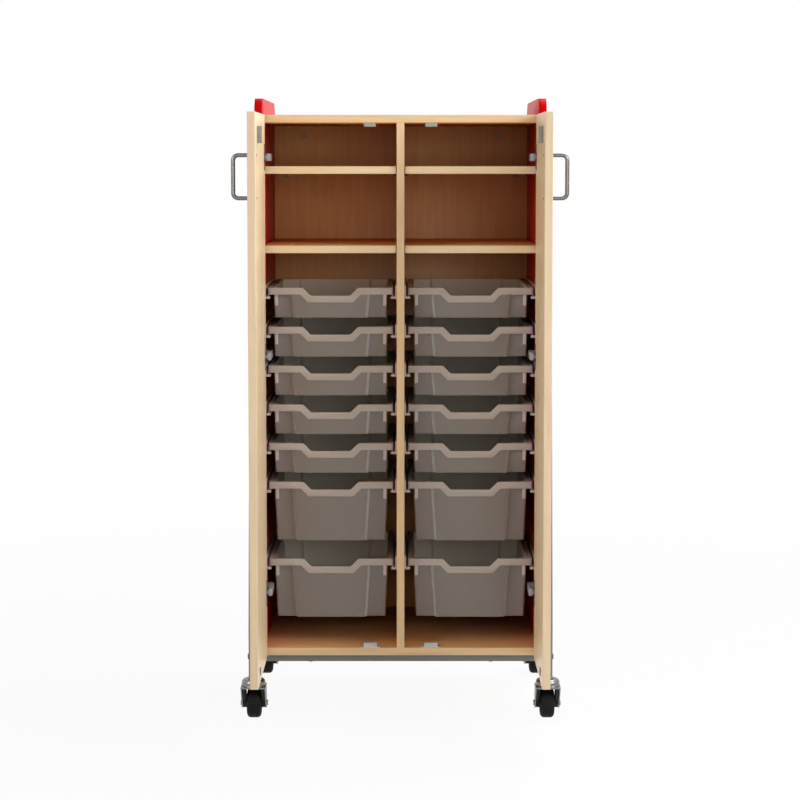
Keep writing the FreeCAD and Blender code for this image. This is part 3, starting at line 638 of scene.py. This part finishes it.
for node in ("left_frame", "right_frame"):
    softened(node, TUBE_EASE, [powder_coat])
for node in ("front_rail", "rear_rail"):
    softened(node, RAIL_EASE, [powder_coat])
softened("frame_bolts", FITTING_EASE, [dark_zinc_and_shade])
for side in ("left", "right"):
    softened(side + "_hinge_arms", FITTING_EASE, [arm_zinc])
    softened(side + "_strikes", STRIKE_EASE, [strike_grey, dark_zinc_and_shade], strike_part)
softened("top_catches", FITTING_EASE, [catch_grey])
softened("bottom_catches", FITTING_EASE, [catch_white])
for end in ENDS:
    softened("fork_" + end, FITTING_EASE, [fork_zinc])
print("softened pieces with the steelwork", soft_count())

# %% [markdown]
# ## Screws
# Dozens of equal screw heads hold the hinges, handles, catches and runners.
# The head is drawn once in geometry nodes, stood on marked points and turned to face each point's way.
# Copies placed by hand would do too, but a change to the head would then mean changing every one.

# %% Node tree for a field of screw heads
HEAD_SIDES = 24
HEAD_TAPER = 0.7
SLOT_LENGTH, SLOT_WIDTH, SLOT_DEPTH = 1.1, 0.24, 1.2


def screw_tree():
    """Pan head with a cross recess on every point, turned along the point's own facing."""
    tree = bpy.data.node_groups.new("screw_field", "GeometryNodeTree")
    for name, kind in (("Points", "Geometry"), ("Radius", "Float"), ("Height", "Float"),
                       ("Finish", "Material")):
        tree.interface.new_socket(name, in_out="INPUT", socket_type="NodeSocket" + kind)
    tree.interface.new_socket("Screws", in_out="OUTPUT", socket_type="NodeSocketGeometry")
    given = tree.nodes.new("NodeGroupInput").outputs
    radius, height = given["Radius"], given["Height"]
    head = linked(tree, "GeometryNodeMeshCone", {
        "Vertices": HEAD_SIDES, "Radius Top": times(tree, radius, HEAD_TAPER), "Radius Bottom": radius,
        "Depth": height})
    blade = linked(tree, "ShaderNodeCombineXYZ", {
        "X": times(tree, radius, SLOT_LENGTH), "Y": times(tree, radius, SLOT_WIDTH),
        "Z": times(tree, height, SLOT_DEPTH)})
    top = linked(tree, "ShaderNodeCombineXYZ", {"Z": height})
    crossed = tree.nodes.new("GeometryNodeMeshBoolean")
    crossed.operation = "DIFFERENCE"
    tree.links.new(head, crossed.inputs["Mesh 1"])
    for turn in (0, math.pi / 2):
        bar = linked(tree, "GeometryNodeMeshCube", {"Size": blade})
        turned_bar = linked(tree, "GeometryNodeTransform", {
            "Geometry": bar, "Translation": top, "Rotation": (0, 0, turn)})
        tree.links.new(turned_bar, crossed.inputs["Mesh 2"])
    facing = linked(tree, "GeometryNodeInputNamedAttribute", {"Name": "facing"}, data_type="FLOAT_VECTOR")
    turned = linked(tree, "FunctionNodeAlignRotationToVector", {"Vector": facing}, axis="Z")
    stood = linked(tree, "GeometryNodeInstanceOnPoints", {
        "Points": given["Points"], "Instance": crossed.outputs["Mesh"], "Rotation": turned})
    real = linked(tree, "GeometryNodeRealizeInstances", {"Geometry": stood})
    coated = linked(tree, "GeometryNodeSetMaterial", {"Geometry": real, "Material": given["Finish"]})
    tree.links.new(coated, tree.nodes.new("NodeGroupOutput").inputs["Screws"])
    return tree


SCREWS = screw_tree()
SCREW_INPUTS = {item.name: item.identifier for item in SCREWS.interface.items_tree if item.in_out == "INPUT"}
print("screw tree", len(SCREWS.nodes), "nodes")

# %% [markdown]
# A field of screws is a mesh of bare points, each with the way that it faces, under that node tree.
# The tree could stay live on the points, but a plain mesh is simpler to place.
# So the tree's result is kept and the points are removed.

# %% Screws on points
def screws(name, body, places, head, finish):
    """Screw heads on a body. places holds pairs of point and facing, head a radius and a height."""
    points = bpy.data.meshes.new(name + "_points")
    points.from_pydata([at for at, _ in places], [], [])
    ways = points.attributes.new("facing", "FLOAT_VECTOR", "POINT")
    ways.data.foreach_set("vector", [value for _, way in places for value in way])
    holder = bpy.data.objects.new(name + "_points", points)
    scene.collection.objects.link(holder)
    field = holder.modifiers.new("screw_field", "NODES")
    field.node_group = SCREWS
    for key, value in (("Radius", head[0]), ("Height", head[1]), ("Finish", finish)):
        field[SCREW_INPUTS[key]] = value
    graph = bpy.context.evaluated_depsgraph_get()
    heads = bpy.data.meshes.new_from_object(holder.evaluated_get(graph), depsgraph=graph)
    bpy.data.objects.remove(holder)
    placed(name, heads, body)
    print(name, len(places))


# %% [markdown]
# Each handle has two screws in the door, each hinge cup two in its flange,
# and each hinge plate two in the side.
# An upper strike has two and a low one has a single screw.
# Their places could be typed in, but the faces that they sit on are measured from the boxes of the solids,
# so that each head sits on its face.

# %% Screws of the doors and hinges
SIDES = (("left", -1), ("right", 1))
HANDLE_HEAD = (0.0036, 0.0011)
CUP_HEAD = (0.0032, 0.0009)
PLATE_HEAD = (0.0032, 0.0013)
STRIKE_HEAD = (0.0028, 0.0008)
HINGE_HEIGHTS = (1.417, 0.925, 0.334)
FLANGE_SCREW = 0.0245
PLATE_SCREW = 0.0135
PLATE_T = 0.003
FOOT_HALF = 0.025
WIRE_R = 0.005
LEAF_T = 0.002
LEAF_SCREW = 0.0065
LEAF_DOWN = 0.020
LOW_LEAF_T = 0.0015
LOW_LEAF_UP = 0.009

for side, way in SIDES:
    inward = (-way, 0, 0)
    door_low, door_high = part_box(side + "_door")
    face_x = door_high.x if way < 0 else door_low.x
    wire_low, wire_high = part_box(side + "_handle")
    wire_y = (wire_low.y + wire_high.y) / 2
    holds = [((face_x, wire_y, z), inward) for z in (wire_low.z + WIRE_R, wire_high.z - WIRE_R)]
    screws(side + "_handle_screws", side + "_door", holds, HANDLE_HEAD, cup_zinc)

    cup_low, cup_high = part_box(side + "_hinge_cups")
    flange_x = cup_high.x if way < 0 else cup_low.x
    cup_y = (cup_low.y + cup_high.y) / 2
    holds = [((flange_x, cup_y, z + step), inward)
             for z in HINGE_HEIGHTS for step in (-FLANGE_SCREW, FLANGE_SCREW)]
    screws(side + "_cup_screws", side + "_door", holds, CUP_HEAD, cup_zinc)

    wall_low, wall_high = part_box(side + "_side_panel")
    plate_x = (wall_high.x if way < 0 else wall_low.x) - way * PLATE_T
    plate_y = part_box(side + "_hinge_arms")[1].y - FOOT_HALF
    holds = [((plate_x, plate_y, z + step), inward)
             for z in HINGE_HEIGHTS for step in (-PLATE_SCREW, PLATE_SCREW)]
    screws(side + "_plate_screws", "carcass", holds, PLATE_HEAD, zinc)

    strike_low, strike_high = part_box(side + "_strikes")
    strike_y = (strike_low.y + strike_high.y) / 2
    holds = [((face_x - way * LEAF_T, strike_y + step, strike_high.z - LEAF_DOWN), inward)
             for step in (-LEAF_SCREW, LEAF_SCREW)]
    holds.append(((face_x - way * LOW_LEAF_T, strike_y, strike_low.z + LOW_LEAF_UP), inward))
    screws(side + "_strike_screws", side + "_door", holds, STRIKE_HEAD, dark_zinc_and_shade)

# %% [markdown]
# A magnetic catch is held by a screw on each side of its block, and a runner by one screw near each end.
# The runners stand on both walls of a bay, so every tray has four.
# Heads of their own could be drawn for them, but they only need new points for the same tree.

# %% Screws of the catches and runners
FIXING_HEAD = (0.0030, 0.0012)
CATCH_SCREW = (0.0960, 0.0560)
CATCH_FLANGE_T = 0.002
WEB_T = 0.004
WEB_SCREW_DROP = 0.008
RUNNER_INSET = 0.045

catch_low, catch_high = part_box("bottom_catches")
catch_y = (catch_low.y + catch_high.y) / 2
holds = [((way * x, catch_y, catch_low.z + CATCH_FLANGE_T), (0, 0, 1))
         for way in (-1, 1) for x in CATCH_SCREW]
screws("catch_screws", "carcass", holds, FIXING_HEAD, dark_zinc_and_shade)

holds = []
divider_low, divider_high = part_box("centre_divider")
for side, way in SIDES:
    wall_low, wall_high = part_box(side + "_side_panel")
    outer_x = (wall_high.x if way < 0 else wall_low.x) - way * WEB_T
    inner_x = (divider_low.x if way < 0 else divider_high.x) + way * WEB_T
    rail_low, rail_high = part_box(side + "_bay_runners")
    for number in TRAY_NUMBERS:
        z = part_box("%s_tray_%d" % (side, number))[1].z - WEB_SCREW_DROP
        for y in (rail_low.y + RUNNER_INSET, rail_high.y - RUNNER_INSET):
            holds += [((outer_x, y, z), (-way, 0, 0)), ((inner_x, y, z), (way, 0, 0))]
screws("runner_screws", "carcass", holds, FIXING_HEAD, zinc)

# %% [markdown]
# Four round caps show on the back panel, two in each bay. They look like covers over fixings.
# Plain discs would do. They are larger screw heads instead, since the same tree makes them
# and the recess hardly shows.

# %% Caps on the back panel
CAP_HEAD = (0.0062, 0.0025)
CAP_PLACES = ((0.261, 1.4725), (0.3095, 1.3695))

back_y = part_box("back_panel")[0].y
holds = [((way * x, back_y, z), (0, -1, 0)) for way in (-1, 1) for x, z in CAP_PLACES]
screws("back_caps", "carcass", holds, CAP_HEAD, arm_zinc)

# %% [markdown]
# ## Caster details
# A rubber tyre has full round shoulders, and a rolled bead runs round the swivel head.
# A torus would do for the bead alone. Both are turned shapes, so one function spins a small outline
# about the axle or the stem.

# %% Spun rings
RING_STEPS = 64


def closed(mesh, name, body, finish):
    """Turn a finished bmesh into a smooth piece with its faces outwards."""
    bmesh.ops.recalc_face_normals(mesh, faces=mesh.faces)
    data = bpy.data.meshes.new(name)
    mesh.to_mesh(data)
    mesh.free()
    data.materials.append(finish)
    smoothed(data)
    return placed(name, data, body)


def spun(name, body, outline, centre, axis, finish):
    """Closed ring: outline holds (distance along the axis, radius) points, spun about the axis."""
    mesh = bmesh.new()
    rings = []
    for step in range(RING_STEPS):
        angle = 2 * math.pi * step / RING_STEPS
        ring = []
        for along, radius in outline:
            across, up = radius * math.cos(angle), radius * math.sin(angle)
            offset = Vector((along, across, up)) if axis == "X" else Vector((across, up, along))
            ring.append(mesh.verts.new(centre + offset))
        rings.append(ring)
    for step in range(RING_STEPS):
        here, after = rings[step], rings[(step + 1) % RING_STEPS]
        for edge in range(len(outline)):
            back = edge - 1
            mesh.faces.new((here[back], here[edge], after[edge], after[back]))
    return closed(mesh, name, body, finish)


# %% [markdown]
# A black plate lies inside each fork cheek, hollowed round the hub: painted shade on the inner face of the
# cheek.
# A cut with a cylinder would make the hollow too.
# The arc is simply part of the outline, which is then extruded, and that leaves clean faces.

# %% Fork plates of painted shade
SHADE_PLATE_FROM, SHADE_PLATE_TO = 0.0195, 0.0284
SHADE_PLATE_TOP = 0.0463
SHADE_PLATE_FRONT, SHADE_PLATE_BACK, SHADE_PLATE_TOE = -0.048, 0.0025, -0.017
SHADE_PLATE_EASE = 0.0008
HUB_CLEAR = 0.0128
HUB_ARC = (35, 145)
ARC_STEPS = 9


def shade_plate(name, body, hub, near, far):
    """Black plate of painted shade inside a cheek, between two distances along the axle, hollowed at its
    foot round the hub.
    """
    turns = [math.radians(HUB_ARC[0] + (HUB_ARC[1] - HUB_ARC[0]) * step / (ARC_STEPS - 1))
             for step in range(ARC_STEPS)]
    foot = [(HUB_CLEAR * math.cos(turn), HUB_CLEAR * math.sin(turn)) for turn in turns]
    outline = [(SHADE_PLATE_FRONT, SHADE_PLATE_TOP), (SHADE_PLATE_BACK, SHADE_PLATE_TOP)] + foot + [(SHADE_PLATE_TOE, foot[-1][1])]
    mesh = bmesh.new()
    sides = []
    for along in (near, far):
        corners = [mesh.verts.new(hub + Vector((along, y, z))) for y, z in outline]
        mesh.faces.new(corners)
        sides.append(corners)
    for here in range(len(outline)):
        mesh.faces.new((sides[0][here - 1], sides[0][here], sides[1][here], sides[1][here - 1]))
    bmesh.ops.recalc_face_normals(mesh, faces=mesh.faces)
    rim = [edge for edge in mesh.edges if edge.calc_face_angle() > CRISP_ANGLE]
    bmesh.ops.bevel(mesh, geom=rim, offset=SHADE_PLATE_EASE, segments=EASE_SEGMENTS, profile=EASE_PROFILE,
                    affect="EDGES")
    closed(mesh, name, body, wheel_black)


# %% [markdown]
# Every caster gets the same four pieces: a tyre, two plates of painted shade and a bead.
# They could all hang on the fork, but a tyre turns with its wheel while the plates and bead turn with the
# fork.
# So each rides on its own body, and the swivel and the axle stay free.

# %% Tyres, plates of painted shade and swivel beads
SHOULDER_W, SHOULDER_DEEP, SHOULDER_STEPS = 0.0100, 0.0108, 7
TYRE_DEPTH = 0.0115
BEAD_R, BEAD_THICK, BEAD_FACES = 0.0302, 0.0011, 8
TRAIL = 0.025
DOME_H = 0.0165

for end in ENDS:
    tyre_low, tyre_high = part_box("tyre_" + end)
    hub = (tyre_low + tyre_high) / 2
    half, outer = (tyre_high.x - tyre_low.x) / 2, (tyre_high.z - tyre_low.z) / 2
    turns = [math.pi / 2 * step / (SHOULDER_STEPS - 1) for step in range(SHOULDER_STEPS)]
    shoulder = [(half - SHOULDER_W + SHOULDER_W * math.sin(turn),
                 outer - SHOULDER_DEEP + SHOULDER_DEEP * math.cos(turn)) for turn in turns]
    right_half = shoulder + [(half, outer - TYRE_DEPTH)]
    outline = right_half + [(-along, radius) for along, radius in reversed(right_half)]
    tyre = spun("tyre_%s_round" % end, "wheel_" + end, outline, hub, "X", tyre_rubber)
    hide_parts("tyre_" + end)
    for mark, way in SIDES:
        shade_plate("liner_%s_%s" % (end, mark), "swivel_" + end, hub, way * SHADE_PLATE_FROM, way * SHADE_PLATE_TO)
    stem = Vector((hub.x, hub.y - TRAIL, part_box("fork_" + end)[1].z - DOME_H))
    turns = [2 * math.pi * step / BEAD_FACES for step in range(BEAD_FACES)]
    bead = [(BEAD_THICK * math.sin(turn), BEAD_R + BEAD_THICK * math.cos(turn)) for turn in turns]
    spun("bead_" + end, "swivel_" + end, bead, stem, "Z", fork_zinc)
caster_names = [o.name for o in scene.objects if o.name.startswith(("liner_", "bead_"))]
caster_names += [o.name for o in scene.objects if o.name.endswith("_round")]
print("tyres, liners and beads", len(caster_names))
